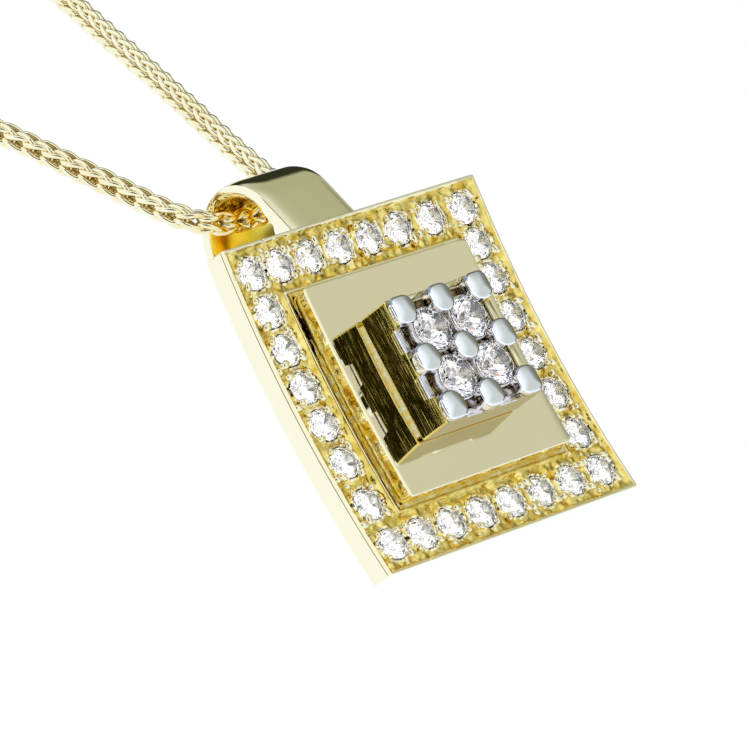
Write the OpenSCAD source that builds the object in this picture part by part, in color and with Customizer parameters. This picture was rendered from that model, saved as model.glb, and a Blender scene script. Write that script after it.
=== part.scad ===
/* [Pendant border] */
// Width and height of the square border
border_side = 14; // [13.8:0.1:14.2]
// Depth of the bend: how far the middle lies behind the top and bottom edges
border_sag = 0.5; // [0.4:0.05:0.6]
// Thickness of the bent border
border_t = 1; // [0.9:0.05:1.2]
// Width of the pocket that the centre plate sits in
pocket_side = 9.36; // [9.3:0.02:9.5]
// Thickness left under the pocket
pocket_floor_t = 0.3; // [0.25:0.05:0.4]
// Width of the thin polished rim along each edge of the border
rim_w = 0.2; // [0.15:0.01:0.25]
// How far the stone field lies below the rims
field_drop = 0.09; // [0.06:0.01:0.12]

/* [Pave stones] */
// Diameter of a border stone
pave_d = 1.32; // [1.2:0.01:1.34]
// Distance from a stone row to the outer edge
pave_inset = 1.17; // [1.15:0.01:1.2]
// Depth of a border stone's girdle below the rims
pave_girdle_drop = 0.1; // [0.08:0.01:0.14]
// Clearance round a stone in its seat
seat_gap = 0.02; // [0.01:0.005:0.03]
// Diameter of a grain bead
grain_d = 0.46; // [0.4:0.02:0.48]
// Distance of a grain bead from the line of the stones
grain_offset = 0.5; // [0.48:0.01:0.52]

/* [Centre plate] */
// Width and height of the plate
plate_side = 9.04; // [8.8:0.02:9.1]
// Height of the plate's middle above the middle of the border
plate_rise = 0.8; // [0.7:0.05:0.95]
// Depth of the plate's own slight bend
plate_sag = 0.15; // [0.1:0.01:0.2]
// Solder gap under the plate, the cube and the head
solder_gap = 0.02; // [0.01:0.01:0.04]

/* [Cube] */
// Width and height of the cube, seen from the front
cube_side = 5.3; // [5.2:0.05:5.4]
// Height of the cube above the plate
cube_h = 1.8; // [1.6:0.05:2]
// Height of the inset foot that makes the shadow line
foot_h = 0.16; // [0.1:0.02:0.2]
// Inset of the foot
foot_inset = 0.14; // [0.1:0.02:0.2]
// Width of the opening in the cube's front that the stone head is let into
opening_side = 4.9; // [4.88:0.01:4.94]
// Depth of that opening
opening_depth = 0.85; // [0.84:0.01:0.9]
// Depth of the shallow notch in each wall, along the middle prong and the side blocks
notch_depth = 0.22; // [0.2:0.01:0.26]
// Depth of the two deeper notches in each wall, for the side blocks
block_notch_depth = 0.47; // [0.44:0.01:0.5]

/* [Stone head] */
// Diameter of a head stone
head_stone_d = 1.8; // [1.76:0.01:1.82]
// Distance between neighbouring prongs
prong_pitch = 2.06; // [2.04:0.01:2.08]
// Diameter of a prong
prong_d = 1.04; // [1:0.01:1.06]
// Height of the prongs above the cube
prong_h = 0.36; // [0.34:0.01:0.42]
// Radius of the dome on a prong
prong_dome_r = 1; // [0.9:0.05:1.1]
// Thickness of the head's base
head_base_t = 0.53; // [0.52:0.01:0.56]
// Height of a head stone's girdle above the cube
head_girdle_h = 0.08; // [0.08:0.01:0.12]
// Outer diameter of the collet under a head stone
collet_d = 2; // [1.96:0.01:2.02]
// Width of a side block between two outer prongs
block_w = 1; // [0.94:0.01:1]
// Thickness of a side block
block_t = 0.3; // [0.26:0.02:0.34]
// Depth of a side block's top below the cube's edge
block_drop = 0.15; // [0.1:0.01:0.2]

/* [Bail] */
// Width of the band
bail_w = 3.3; // [3:0.1:3.6]
// Thickness of the band
bail_t = 0.6; // [0.5:0.05:0.65]
// Outer radius of the loop
bail_r = 2.4; // [2.3:0.05:2.5]
// Height of the loop's centre above the pendant's centre
bail_up = 8.22; // [8.1:0.02:8.4]
// Distance of the loop's centre behind the pendant's front
bail_back = 3.85; // [3.7:0.05:4]
// Outer radius of the soldered foot
bail_foot_r = 1.1; // [1:0.05:1.15]
// Height of the foot's centre above the pendant's centre
bail_foot_up = 5.5; // [5.3:0.1:5.6]
// Distance of the foot's centre behind the pendant's front
bail_foot_back = 1.6; // [1.55:0.05:1.7]

/* [Chain and clasp] */
// Diameter of the chain
chain_d = 1; // [0.8:0.1:1.1]
// Gap between the chain and the inside of the bail
chain_gap = 0.08; // [0.06:0.01:0.12]
// Lean of the pendant under the chain, with its lower edge to the back
hang_tilt = 26.7; // [20:0.1:30]
// Length of the barrel clasp without its end rings
barrel_len = 8; // [7.9:0.05:8.05]
// Diameter of the barrel clasp
barrel_d = 3; // [2.8:0.1:3.2]
// Wire of the clasp's end rings
ring_wire = 0.6; // [0.5:0.05:0.6]

/* [Hidden] */
$fn = 64;
TINY = 0.001;
TUBE_SIDES = 8;
ROUTE_STEPS = 2;

// Columns: x, y and z of the chain's middle line, right half, from the bail up to the clasp
HALF_ROUTE = [
    [0, -120, -103],
    [1.3, -120, -103],
    [2.3, -119.9, -102.4],
    [2.9, -119.6, -101],
    [3.5, -119.1, -98],
    [4.6, -118.3, -93],
    [6.6, -116.7, -84],
    [9.4, -114.4, -73],
    [13.4, -111, -61],
    [19.2, -106.2, -48.5],
    [27, -99.2, -36],
    [36, -89.2, -25.5],
    [44.4, -76.5, -16.8],
    [50.4, -60.5, -10.6],
    [52.4, -42.5, -6],
    [49.2, -25.5, -3],
    [41, -11.5, -1.2],
    [29, -2.5, -0.3],
    [16, 1.2, 0],
    [10, 1.5, 0],
    [6.2, 1.5, 0]
];
// Normal of the sloping plane that the necklace lies in, which keeps the tube free of twist
LOOP_NORMAL = [0, -0.68, 0.73];

// Proportions of a round brilliant, as parts of its radius
TABLE = 0.58;
STAR = 0.77;
LOWER_HALF = 0.25;
CROWN = 0.29;
PAVILION = 0.86;
GIRDLE = 0.03;

pave_reach = border_side / 2 - pave_inset;
corner_grain_out = 0.66;
corner_grain_in = 0.72;

bend_r = pow(border_side / 2, 2) / (2 * border_sag);
plate_bend_r = pow(plate_side / 2, 2) / (2 * plate_sag);
cube_top = plate_rise + cube_h;
chain_offset = bail_r - bail_t - chain_d / 2 - chain_gap;
chain_up = bail_up + chain_offset * cos(hang_tilt);
chain_back = bail_back + chain_offset * sin(hang_tilt);
clasp_y = HALF_ROUTE[len(HALF_ROUTE) - 1][1];
ring_r = 0.9;
ring_x = barrel_len / 2 + ring_r + 0.05;
slab = 8;

cube_wall = (cube_side - opening_side) / 2;
opening_gap = 0.03;
head_side = opening_side - 2 * opening_gap;
column_d = prong_d - 0.06;
head_floor = cube_top - opening_depth + solder_gap;
block_end = prong_pitch - prong_d / 2 - 2 * solder_gap;
block_start = block_end - block_w;

// Places of the six stones between the corners, along the top and bottom from the left,
// and along the two sides from the bottom. They are set by hand, so they aren't quite even.
TOP_STONES = [-4.35, -2.75, -1.1, 0.55, 2.2, 4];
BOTTOM_STONES = [-4.25, -2.6, -0.95, 0.7, 2.4, 4.1];
LEFT_STONES = [-4.05, -2.2, -0.55, 1.05, 2.65, 4.25];
RIGHT_STONES = [-4.1, -2.3, -0.5, 1.2, 2.85, 4.35];

// Each border stone's place, x and height on the bent front, clockwise from the top left corner
between_corners = len(TOP_STONES);
gaps_per_side = between_corners + 1;
PAVE = concat(
    [[-pave_reach, pave_reach]],
    [for (x = TOP_STONES) [x, pave_reach]],
    [[pave_reach, pave_reach]],
    [for (i = [between_corners - 1:-1:0]) [pave_reach, RIGHT_STONES[i]]],
    [[pave_reach, -pave_reach]],
    [for (i = [between_corners - 1:-1:0]) [BOTTOM_STONES[i], -pave_reach]],
    [[-pave_reach, -pave_reach]],
    [for (y = LEFT_STONES) [-pave_reach, y]]
);
HEAD_STONES = [for (y = [0.5, -0.5], x = [-0.5, 0.5]) prong_pitch * [x, y]];
PRONGS = [for (y = [1, 0, -1], x = [-1, 0, 1]) prong_pitch * [x, y]];

PAVE_NODES = [for (i = [1:len(PAVE)]) str("pave_stone_", i)];
HEAD_STONE_NODES = [for (i = [1:len(HEAD_STONES)]) str("head_stone_", i)];

// Carries a child from the bench, where x is right, y up and z to the front, to its place under the chain
module hang() {
    translate(HALF_ROUTE[0])
        rotate([hang_tilt + 90, 0, 0])
            translate([0, -chain_up, chain_back])
                children();
}

// Puts a child on the bent front of the border, square to it
module on_border(place) {
    translate([0, 0, bend_r])
        rotate([asin(place[1] / bend_r), 0, 0])
            translate([place[0], 0, -bend_r])
                children();
}

function unit(v) = v / norm(v);

// A quarter turn of a place on the border, k times
function turned(place, k) = k == 0 ? place : turned([place[1], -place[0]], k - 1);

// A round bar across the pendant whose surface is one of the bent faces
module bend_bar(radius, middle) {
    translate([0, 0, middle])
        rotate([0, 90, 0])
            cylinder(r = radius, h = 2 * border_side, center = true, $fn = 360);
}

module square_bar(side, height) {
    translate([-side / 2, -side / 2, -height / 2])
        cube([side, side, height]);
}

// The bent square with its pocket and the sunk field between its two rims
module border_blank() {
    difference() {
        intersection() {
            square_bar(border_side, slab);
            bend_bar(bend_r + border_t, bend_r);
        }
        bend_bar(bend_r, bend_r);
        intersection() {
            square_bar(pocket_side, slab);
            bend_bar(bend_r + border_t - pocket_floor_t, bend_r);
        }
        intersection() {
            difference() {
                square_bar(border_side - 2 * rim_w, slab);
                square_bar(pocket_side + 2 * rim_w, slab + 1);
            }
            bend_bar(bend_r + field_drop, bend_r);
        }
    }
}

// Room for a stone with its girdle at z = 0, open to the front for a length above it
module stone_seat(stone_d, above) {
    seat_r = stone_d / 2 + seat_gap;
    cone_h = PAVILION * seat_r;
    translate([0, 0, -0.05])
        cylinder(r = seat_r, h = above + 0.05);
    translate([0, 0, -0.05 - cone_h])
        cylinder(r1 = 0.05, r2 = seat_r, h = cone_h + TINY);
}

module grain(place) {
    on_border(place)
        translate([0, 0, -field_drop])
            sphere(d = grain_d);
}

// Grain beads on both sides of each gap between two stones, and two at each corner
module grains() {
    count = len(PAVE);
    for (i = [0:count - 1]) {
        from = PAVE[i];
        to = PAVE[(i + 1) % count];
        middle = (from + to) / 2;
        outward = grain_offset * unit([from[1] - to[1], to[0] - from[0]]);
        beside_corner = i % gaps_per_side == 0 || i % gaps_per_side == gaps_per_side - 1;
        grain(middle + outward);
        if (!beside_corner)
            grain(middle - outward);
    }
    for (k = [0:3]) {
        grain(turned([pave_reach + corner_grain_out, pave_reach + corner_grain_out], k));
        grain(turned([pave_reach - corner_grain_in, pave_reach - corner_grain_in], k));
    }
}

// Outline drawn tight round two circles
module two_circle_outline(big, big_r, small, small_r) {
    axis = atan2(small[1] - big[1], small[0] - big[0]);
    spread = acos((big_r - small_r) / norm(small - big));
    corners = [for (turn = [axis + spread, axis - spread]) [cos(turn), sin(turn)]];
    translate(big)
        circle(r = big_r);
    translate(small)
        circle(r = small_r);
    polygon([
        big + big_r * corners[0],
        big + big_r * corners[1],
        small + small_r * corners[1],
        small + small_r * corners[0]
    ]);
}

// The wide band, bent round into a loop that narrows to its foot behind the border
module bail_band() {
    loop = [-bail_back, bail_up];
    foot = [-bail_foot_back, bail_foot_up];
    rotate([0, -90, 0])
        translate([0, 0, -bail_w / 2])
            linear_extrude(bail_w)
                difference() {
                    two_circle_outline(loop, bail_r, foot, bail_foot_r);
                    two_circle_outline(loop, bail_r - bail_t, foot, bail_foot_r - bail_t);
                }
}

module frame_and_bail() {
    color([0.88, 0.75, 0.42])
        hang()
            difference() {
                union() {
                    border_blank();
                    bail_band();
                    grains();
                }
                for (place = PAVE)
                    on_border(place)
                        translate([0, 0, -pave_girdle_drop])
                            stone_seat(pave_d, 1);
            }
}

module centre_plate() {
    color([0.84, 0.8, 0.62])
        hang()
            difference() {
                intersection() {
                    square_bar(plate_side, slab);
                    bend_bar(bend_r + border_t - pocket_floor_t - solder_gap, bend_r);
                }
                bend_bar(plate_bend_r, plate_rise + plate_bend_r);
            }
}

// A notch through the right wall of the cube, from one y to another, open to the front
module wall_notch(low, high, depth) {
    translate([opening_side / 2 - cube_wall, low, cube_top - depth])
        cube([3 * cube_wall, high - low, slab]);
}

// The plain box, its underside shaped to the plate, opened and notched in front for the stone head
module gold_cube_solid() {
    foot_side = cube_side - 2 * foot_inset;
    notch_end = block_end + solder_gap;
    difference() {
        union() {
            translate([-cube_side / 2, -cube_side / 2, plate_rise + foot_h])
                cube([cube_side, cube_side, cube_h - foot_h]);
            intersection() {
                translate([-foot_side / 2, -foot_side / 2, plate_rise - 1])
                    cube([foot_side, foot_side, foot_h + 1 + TINY]);
                bend_bar(plate_bend_r - solder_gap, plate_rise + plate_bend_r);
            }
        }
        translate([-opening_side / 2, -opening_side / 2, cube_top - opening_depth])
            cube([opening_side, opening_side, slab]);
        for (k = [0:3])
            rotate(90 * k) {
                wall_notch(-notch_end, notch_end, notch_depth);
                wall_notch(-notch_end, solder_gap - block_start, block_notch_depth);
                wall_notch(block_start - solder_gap, notch_end, block_notch_depth);
            }
    }
}

module gold_cube() {
    color([0.8, 0.72, 0.42])
        hang()
            gold_cube_solid();
}

// A round column inside the cube's opening, widening over the wall into a domed pad
module prong(place) {
    at_corner = place[0] * place[1] != 0;
    pad_floor = (at_corner ? cube_top : cube_top - notch_depth) + solder_gap;
    column_floor = head_floor + head_base_t / 2;
    intersection() {
        translate([place[0], place[1], column_floor])
            cylinder(d = column_d, h = pad_floor + 0.05 - column_floor);
        square_bar(head_side, slab);
    }
    intersection() {
        translate([place[0], place[1], pad_floor])
            cylinder(d = prong_d, h = cube_top + prong_h - pad_floor);
        translate([place[0], place[1], cube_top + prong_h - prong_dome_r])
            sphere(r = prong_dome_r);
    }
}

// The two blocks that fill the deep notches of the right wall
module side_blocks() {
    block_floor = cube_top - block_notch_depth + solder_gap;
    for (low = [-block_end, block_start])
        translate([cube_side / 2 - solder_gap - block_t, low, block_floor])
            cube([block_t, block_w, cube_top - block_drop - block_floor]);
}

// Base, four collets, eight side blocks and nine domed prongs in one casting
module stone_head() {
    collet_floor = head_floor + head_base_t / 3;
    color([0.8, 0.82, 0.85])
        hang()
            difference() {
                union() {
                    translate([-head_side / 2, -head_side / 2, head_floor])
                        cube([head_side, head_side, head_base_t]);
                    for (place = HEAD_STONES)
                        translate([place[0], place[1], collet_floor])
                            cylinder(d = collet_d, h = cube_top + head_girdle_h - collet_floor);
                    for (place = PRONGS)
                        prong(place);
                    for (k = [0:3])
                        rotate(90 * k)
                            side_blocks();
                }
                for (place = HEAD_STONES)
                    translate([place[0], place[1], cube_top + head_girdle_h])
                        stone_seat(head_stone_d, 1);
            }
}

function ring_point(radius, turn, z) = [radius * cos(turn), radius * sin(turn), z];

// Round brilliant with its table to the front and the middle of its girdle at z = 0
module brilliant(stone_d) {
    r = stone_d / 2;
    half_girdle = GIRDLE * r / 2;
    table_z = half_girdle + CROWN * r;
    crown_slope = (table_z - half_girdle) / (r - TABLE * r);
    star_z = table_z - crown_slope * (STAR * r * cos(22.5) - TABLE * r);
    culet_z = -half_girdle - PAVILION * r;
    lower_z = culet_z + PAVILION * LOWER_HALF * r * cos(22.5);
    points = concat(
        [for (i = [0:7]) ring_point(TABLE * r, 45 * i, table_z)],
        [for (i = [0:7]) ring_point(STAR * r, 45 * i + 22.5, star_z)],
        [for (i = [0:15]) ring_point(r, 22.5 * i, half_girdle)],
        [for (i = [0:15]) ring_point(r, 22.5 * i, -half_girdle)],
        [for (i = [0:7]) ring_point(LOWER_HALF * r, 45 * i + 22.5, lower_z)],
        [[0, 0, culet_z]]
    );
    star = 8;
    top = 16;
    bottom = 32;
    lower = 48;
    culet = 56;
    faces = concat(
        [[for (i = [0:7]) 7 - i]],
        [for (i = [0:7]) [i, (i + 1) % 8, star + i]],
        [for (i = [0:7]) [i, star + i, top + 2 * i]],
        [for (i = [0:7]) [i, top + 2 * i, star + (i + 7) % 8]],
        [for (i = [0:7]) [star + i, top + 2 * i + 1, top + 2 * i]],
        [for (i = [0:7]) [star + i, top + (2 * i + 2) % 16, top + 2 * i + 1]],
        [for (i = [0:15]) [top + i, top + (i + 1) % 16, bottom + (i + 1) % 16]],
        [for (i = [0:15]) [top + i, bottom + (i + 1) % 16, bottom + i]],
        [for (i = [0:7]) [lower + i, bottom + 2 * i, bottom + 2 * i + 1]],
        [for (i = [0:7]) [lower + i, bottom + 2 * i + 1, bottom + (2 * i + 2) % 16]],
        [for (i = [0:7]) [culet, bottom + 2 * i, lower + i]],
        [for (i = [0:7]) [culet, lower + (i + 7) % 8, bottom + 2 * i]]
    );
    polyhedron(points, faces);
}

module pave_stone(i) {
    color([0.93, 0.95, 0.97])
        hang()
            on_border(PAVE[i])
                translate([0, 0, -pave_girdle_drop])
                    brilliant(pave_d);
}

module head_stone(i) {
    color([0.93, 0.95, 0.97])
        hang()
            translate([HEAD_STONES[i][0], HEAD_STONES[i][1], cube_top + head_girdle_h])
                brilliant(head_stone_d);
}

// A point on the smooth curve through b and c, a part s of the way from b to c
function curve_point(a, b, c, d, s) =
    0.5 * (2 * b + (c - a) * s + (2 * a - 5 * b + 4 * c - d) * s * s + (3 * b - a - 3 * c + d) * s * s * s);

// The chain as one tube swept along its whole route
module chain() {
    last = len(HALF_ROUTE) - 1;
    knots = concat(
        [for (i = [last:-1:1]) [-HALF_ROUTE[i][0], HALF_ROUTE[i][1], HALF_ROUTE[i][2]]],
        HALF_ROUTE
    );
    count = len(knots);
    spans = [for (i = [0:count - 2])
        [knots[max(i - 1, 0)], knots[i], knots[i + 1], knots[min(i + 2, count - 1)]]];
    route = concat(
        [for (span = spans, k = [0:ROUTE_STEPS - 1])
            curve_point(span[0], span[1], span[2], span[3], k / ROUTE_STEPS)],
        [knots[count - 1]]
    );
    rings = len(route);
    points = [for (i = [0:rings - 1], k = [0:TUBE_SIDES - 1])
        let (
            ahead = unit(route[min(i + 1, rings - 1)] - route[max(i - 1, 0)]),
            side = unit(cross(LOOP_NORMAL, ahead)),
            up = cross(ahead, side),
            turn = 360 * (k + 0.5) / TUBE_SIDES
        )
        route[i] + chain_d / 2 * (cos(turn) * side + sin(turn) * up)
    ];
    end = (rings - 1) * TUBE_SIDES;
    faces = concat(
        [[for (k = [0:TUBE_SIDES - 1]) k]],
        [[for (k = [TUBE_SIDES - 1:-1:0]) end + k]],
        [for (i = [0:rings - 2], k = [0:TUBE_SIDES - 1])
            [i * TUBE_SIDES + k, (i + 1) * TUBE_SIDES + k, i * TUBE_SIDES + (k + 1) % TUBE_SIDES]],
        [for (i = [0:rings - 2], k = [0:TUBE_SIDES - 1])
            [
                i * TUBE_SIDES + (k + 1) % TUBE_SIDES,
                (i + 1) * TUBE_SIDES + k,
                (i + 1) * TUBE_SIDES + (k + 1) % TUBE_SIDES
            ]]
    );
    color([0.9, 0.78, 0.42])
        polyhedron(points, faces);
}

// Barrel with bevelled ends and a ring at each end for the last links
module clasp() {
    half = barrel_len / 2;
    r = barrel_d / 2;
    bevel = 0.5;
    color([0.88, 0.75, 0.42])
        translate([0, clasp_y, 0]) {
            rotate([0, 90, 0])
                rotate_extrude()
                    polygon([
                        [0, -half],
                        [r - bevel, -half],
                        [r, -half + bevel],
                        [r, half - bevel],
                        [r - bevel, half],
                        [0, half]
                    ]);
            for (side = [-1, 1])
                translate([side * ring_x, 0, 0])
                    rotate([90, 0, 0])
                        rotate_extrude()
                            translate([ring_r, 0])
                                circle(d = ring_wire);
        }
}

frame_and_bail();
centre_plate();
gold_cube();
stone_head();
for (i = [0:len(HEAD_STONES) - 1])
    head_stone(i);
for (i = [0:len(PAVE) - 1])
    pave_stone(i);
chain();
clasp();
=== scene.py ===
import math
import random

import bpy
import numpy as np
from mathutils import Matrix, Quaternion, Vector, noise


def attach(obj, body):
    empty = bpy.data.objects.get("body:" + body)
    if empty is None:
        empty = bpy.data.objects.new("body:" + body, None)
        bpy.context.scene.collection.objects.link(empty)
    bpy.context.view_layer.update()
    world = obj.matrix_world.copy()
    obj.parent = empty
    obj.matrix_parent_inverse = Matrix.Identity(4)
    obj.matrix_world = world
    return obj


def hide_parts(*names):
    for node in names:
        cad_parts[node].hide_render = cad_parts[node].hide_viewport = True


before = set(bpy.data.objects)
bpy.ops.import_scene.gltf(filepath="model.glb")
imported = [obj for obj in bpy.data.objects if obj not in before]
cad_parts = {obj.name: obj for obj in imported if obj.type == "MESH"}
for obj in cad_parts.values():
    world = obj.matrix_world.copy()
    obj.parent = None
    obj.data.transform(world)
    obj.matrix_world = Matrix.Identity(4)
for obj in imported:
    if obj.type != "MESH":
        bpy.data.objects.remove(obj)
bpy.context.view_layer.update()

scene = bpy.context.scene
random.seed(7)

# Sizes on the bench are in millimetres: x to the right, y up and z to the front, with the
# border's front at z = 0 in its middle. The bench frame turns and carries them to the part's place.
MM = 0.001
HANG_POINT = Vector((0, -0.12, -0.103))
HANG_TILT = math.radians(26.7)
CHAIN_OFFSET = 1.22
BAIL_UP = 8.22
BAIL_BACK = 3.85
TURN = Matrix.Rotation(math.radians(90) + HANG_TILT, 4, "X")
BENCH = (
    Matrix.Translation(HANG_POINT)
    @ TURN
    @ Matrix.Scale(MM, 4)
    @ Matrix.Translation(
        (
            0,
            -BAIL_UP - CHAIN_OFFSET * math.cos(HANG_TILT),
            BAIL_BACK + CHAIN_OFFSET * math.sin(HANG_TILT),
        )
    )
)

# Camera, in metres: it looks up at the pendant from below and from its left
CAMERA_SPOT = Vector((-0.180755, -0.266453, -0.235843))
CAMERA_AHEAD = Vector((0.6819, 0.55952, 0.47103))
CAMERA_ROLL = math.radians(-48.25)
CAMERA_LENS = 330.06
FLOOR_Z = -0.3

# Border, in millimetres on the bench
BORDER_HALF = 7
BORDER_T = 1
BORDER_CORNER = 0.12
BEND_R = 49
POCKET_HALF = 4.68
POCKET_FLOOR = 0.7
SIDE_RIM = 0.2
THIN_RIM = 0.08
INNER_RIM = 0.12
EDGE_R = 0.05
RIM_SLOPE = 0.33
FIELD_DROP = 0.12
FIELD_LUMPS = 0.11
FIELD_CRUMBS = 0.07
GRID_STEP = 0.08
SOLDER_CRUMBS = 0.06

# Slit in the solder at the left: its width, what it gains higher up and where, and its depth
SLIT_W = 0.04
SLIT_GAIN = 0.09
SLIT_LOW = 1.6
SLIT_HIGH = 4.6
SLIT_START = 0.01
SLIT_DEPTH = 0.1
SLIT_STEEP = 5

# Stones, in millimetres on the bench
PAVE_REACH = 5.83
PAVE_R = 0.66
SEAT_GAP = 0.02
GIRDLE_DROP = 0.1
HEAD_R = 0.9
STONE_GIRDLE = 2.68
STONE_IOR = 2.1

# Grains between two stones: distance from the stones' line and shift along it, and how many are left out
GRAIN_PLACES = ((-0.48, 0), (0.5, 0.12), (0.76, 0.24))
GRAINS_LEFT_OUT = 0.25

# Brilliant cut, as parts of the stone's radius
TABLE = 0.58
STAR = 0.77
LOWER_HALF = 0.25
CROWN = 0.33
PAVILION = 0.86
GIRDLE = 0.05

# Stones between the corners: x along the top and bottom from the left, y up the two sides
TOP_STONES = (-4.35, -2.75, -1.1, 0.55, 2.2, 4)
BOTTOM_STONES = (-4.25, -2.6, -0.95, 0.7, 2.4, 4.1)
LEFT_STONES = (-4.05, -2.2, -0.55, 1.05, 2.65, 4.25)
RIGHT_STONES = (-4.1, -2.3, -0.5, 1.2, 2.85, 4.35)

# Plate, cube and stone head, in millimetres on the bench
PLATE_HALF = 4.52
PLATE_RISE = 0.8
PLATE_BEND_R = 68.1
PLATE_CORNER = 0.22
CUBE_HALF = 2.65
CUBE_FOOT = 0.16
CUBE_CORNER = 0.12
CUBE_TOP = 2.6
FOOT_ENDS = 0.25
OPENING_HALF = 2.45
OPENING_FLOOR = 1.75
NOTCH = 0.22
BLOCK_NOTCH = 0.47
BLOCK_START = 0.48
NOTCH_END = 1.52
BLOCK_DROP = 0.15
BLOCK_HALF_T = 0.15
SOLDER_GAP = 0.02
PRONG_PITCH = 2.06
PRONG_R = 0.52
PAD_R = 0.58
PAD_TOP = 2.96
PAD_CROWN = 0.09
PAD_ROLL = 0.05

# Pads: points round them, places of their rings, and squareness with no, one or two flatter sides
PAD_SIDES = 48
PAD_SHARES = (0.2, 0.4, 0.6, 0.75, 0.86, 0.92, 0.95, 0.97, 0.985, 0.995, 1)
PAD_POWERS = (2.1, 3, 4.5)

# Bail, in millimetres on the bench. A buff is how far in its edge is worn and the slope it reaches.
BAIL_W = 3.5
BAIL_SHIFT = 0.1
BAIL_T = 0.6
BAIL_R = 2.4
BAIL_EDGE = 0.08
RIGHT_BUFF = (0.45, 0.4)
LEFT_BUFF = (0.9, 0.3)
FOOT_R = 1.1
FOOT_UP = 5.5
FOOT_BACK = 1.45
FOOT_FILL = 0.45

# Chain route, right half, in metres, from the bail up to the clasp
HALF_ROUTE = [
    (0, -0.12, -0.103),
    (0.0013, -0.12, -0.103),
    (0.0023, -0.1199, -0.1024),
    (0.0029, -0.1196, -0.101),
    (0.0035, -0.1191, -0.098),
    (0.0046, -0.1183, -0.093),
    (0.0066, -0.1167, -0.084),
    (0.0094, -0.1144, -0.073),
    (0.0134, -0.111, -0.061),
    (0.0192, -0.1062, -0.0485),
    (0.027, -0.0992, -0.036),
    (0.036, -0.0892, -0.0255),
    (0.0444, -0.0765, -0.0168),
    (0.0504, -0.0605, -0.0106),
    (0.0524, -0.0425, -0.006),
    (0.0492, -0.0255, -0.003),
    (0.041, -0.0115, -0.0012),
    (0.029, -0.0025, -0.0003),
    (0.016, 0.0012, 0),
    (0.01, 0.0015, 0),
    (0.0062, 0.0015, 0),
]
LOOP_NORMAL = np.array([0, -0.68, 0.73])


def make_camera():
    data = bpy.data.cameras.new("camera")
    data.lens = CAMERA_LENS
    data.sensor_width = 36
    data.clip_start = 0.01
    data.clip_end = 20
    camera = bpy.data.objects.new("camera", data)
    camera.location = CAMERA_SPOT
    camera.rotation_mode = "QUATERNION"
    level = CAMERA_AHEAD.to_track_quat("-Z", "Y")
    camera.rotation_quaternion = level @ Quaternion((0, 0, 1), CAMERA_ROLL)
    scene.collection.objects.link(camera)
    scene.camera = camera


# Materials


def new_material(name):
    material = bpy.data.materials.new(name)
    material.use_nodes = True
    return material, material.node_tree.nodes, material.node_tree.links


def bench_points(nodes, links, stretch=(1, 1, 1)):
    """Texture points in millimetres along the bench's own directions."""
    coordinates = nodes.new("ShaderNodeTexCoord")
    turn = nodes.new("ShaderNodeMapping")
    turn.vector_type = "TEXTURE"
    turn.inputs["Rotation"].default_value = (math.radians(90) + HANG_TILT, 0, 0)
    turn.inputs["Scale"].default_value = (MM, MM, MM)
    size = nodes.new("ShaderNodeMapping")
    size.inputs["Scale"].default_value = stretch
    links.new(coordinates.outputs["Object"], turn.inputs["Vector"])
    links.new(turn.outputs["Vector"], size.inputs["Vector"])
    return size.outputs["Vector"]


def add_noise(nodes, links, points, scale, detail=2.0):
    made = nodes.new("ShaderNodeTexNoise")
    made.inputs["Scale"].default_value = scale
    made.inputs["Detail"].default_value = detail
    links.new(points, made.inputs["Vector"])
    return made.outputs["Fac"]


def spread(nodes, links, factor, low, high):
    made = nodes.new("ShaderNodeMapRange")
    made.inputs["From Min"].default_value = 0.3
    made.inputs["From Max"].default_value = 0.7
    made.inputs["To Min"].default_value = low
    made.inputs["To Max"].default_value = high
    links.new(factor, made.inputs["Value"])
    return made.outputs["Result"]


def mix_colours(nodes, links, factor, first, second):
    made = nodes.new("ShaderNodeMix")
    made.data_type = "RGBA"
    made.inputs["A"].default_value = (*first, 1)
    made.inputs["B"].default_value = (*second, 1)
    links.new(factor, made.inputs["Factor"])
    return made.outputs["Result"]


def metal(name, tone, tint, gloss, grain=1.3, streak=None, height=0.0002, patches=0.4):
    """Metal whose colour drifts, whose gloss is worn in patches and whose surface has fine marks."""
    material, nodes, links = new_material(name)
    shader = nodes["Principled BSDF"]
    points = bench_points(nodes, links)
    marks = bench_points(nodes, links, streak) if streak else points
    shader.inputs["Metallic"].default_value = 1
    drift = spread(nodes, links, add_noise(nodes, links, points, patches, 3), 0, 1)
    links.new(mix_colours(nodes, links, drift, tone, tint), shader.inputs["Base Color"])
    worn = spread(nodes, links, add_noise(nodes, links, marks, grain, 4), *gloss)
    links.new(worn, shader.inputs["Roughness"])
    bump = nodes.new("ShaderNodeBump")
    bump.inputs["Strength"].default_value = 1
    bump.inputs["Distance"].default_value = height * MM
    links.new(add_noise(nodes, links, marks, grain, 3), bump.inputs["Height"])
    links.new(bump.outputs["Normal"], shader.inputs["Normal"])
    return material


def cut_stone(name, tone, gloss):
    """Clear stone with a faint milky body that drifts between warm and cool."""
    material, nodes, links = new_material(name)
    shader = nodes["Principled BSDF"]
    points = bench_points(nodes, links)
    shader.inputs["Transmission Weight"].default_value = 0.97
    shader.inputs["IOR"].default_value = STONE_IOR
    drift = spread(nodes, links, add_noise(nodes, links, points, 1.5), 0, 1)
    warm = (tone, 0.99 * tone, 0.98 * tone)
    cool = (0.97 * tone, tone, tone)
    clear = mix_colours(nodes, links, drift, warm, cool)
    links.new(clear, shader.inputs["Base Color"])
    worn = spread(nodes, links, add_noise(nodes, links, points, 3), *gloss)
    links.new(worn, shader.inputs["Roughness"])
    return material


def polished_gold():
    return metal("polished_gold", (0.93, 0.80, 0.48), (0.95, 0.82, 0.50), (0.03, 0.06))


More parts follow.
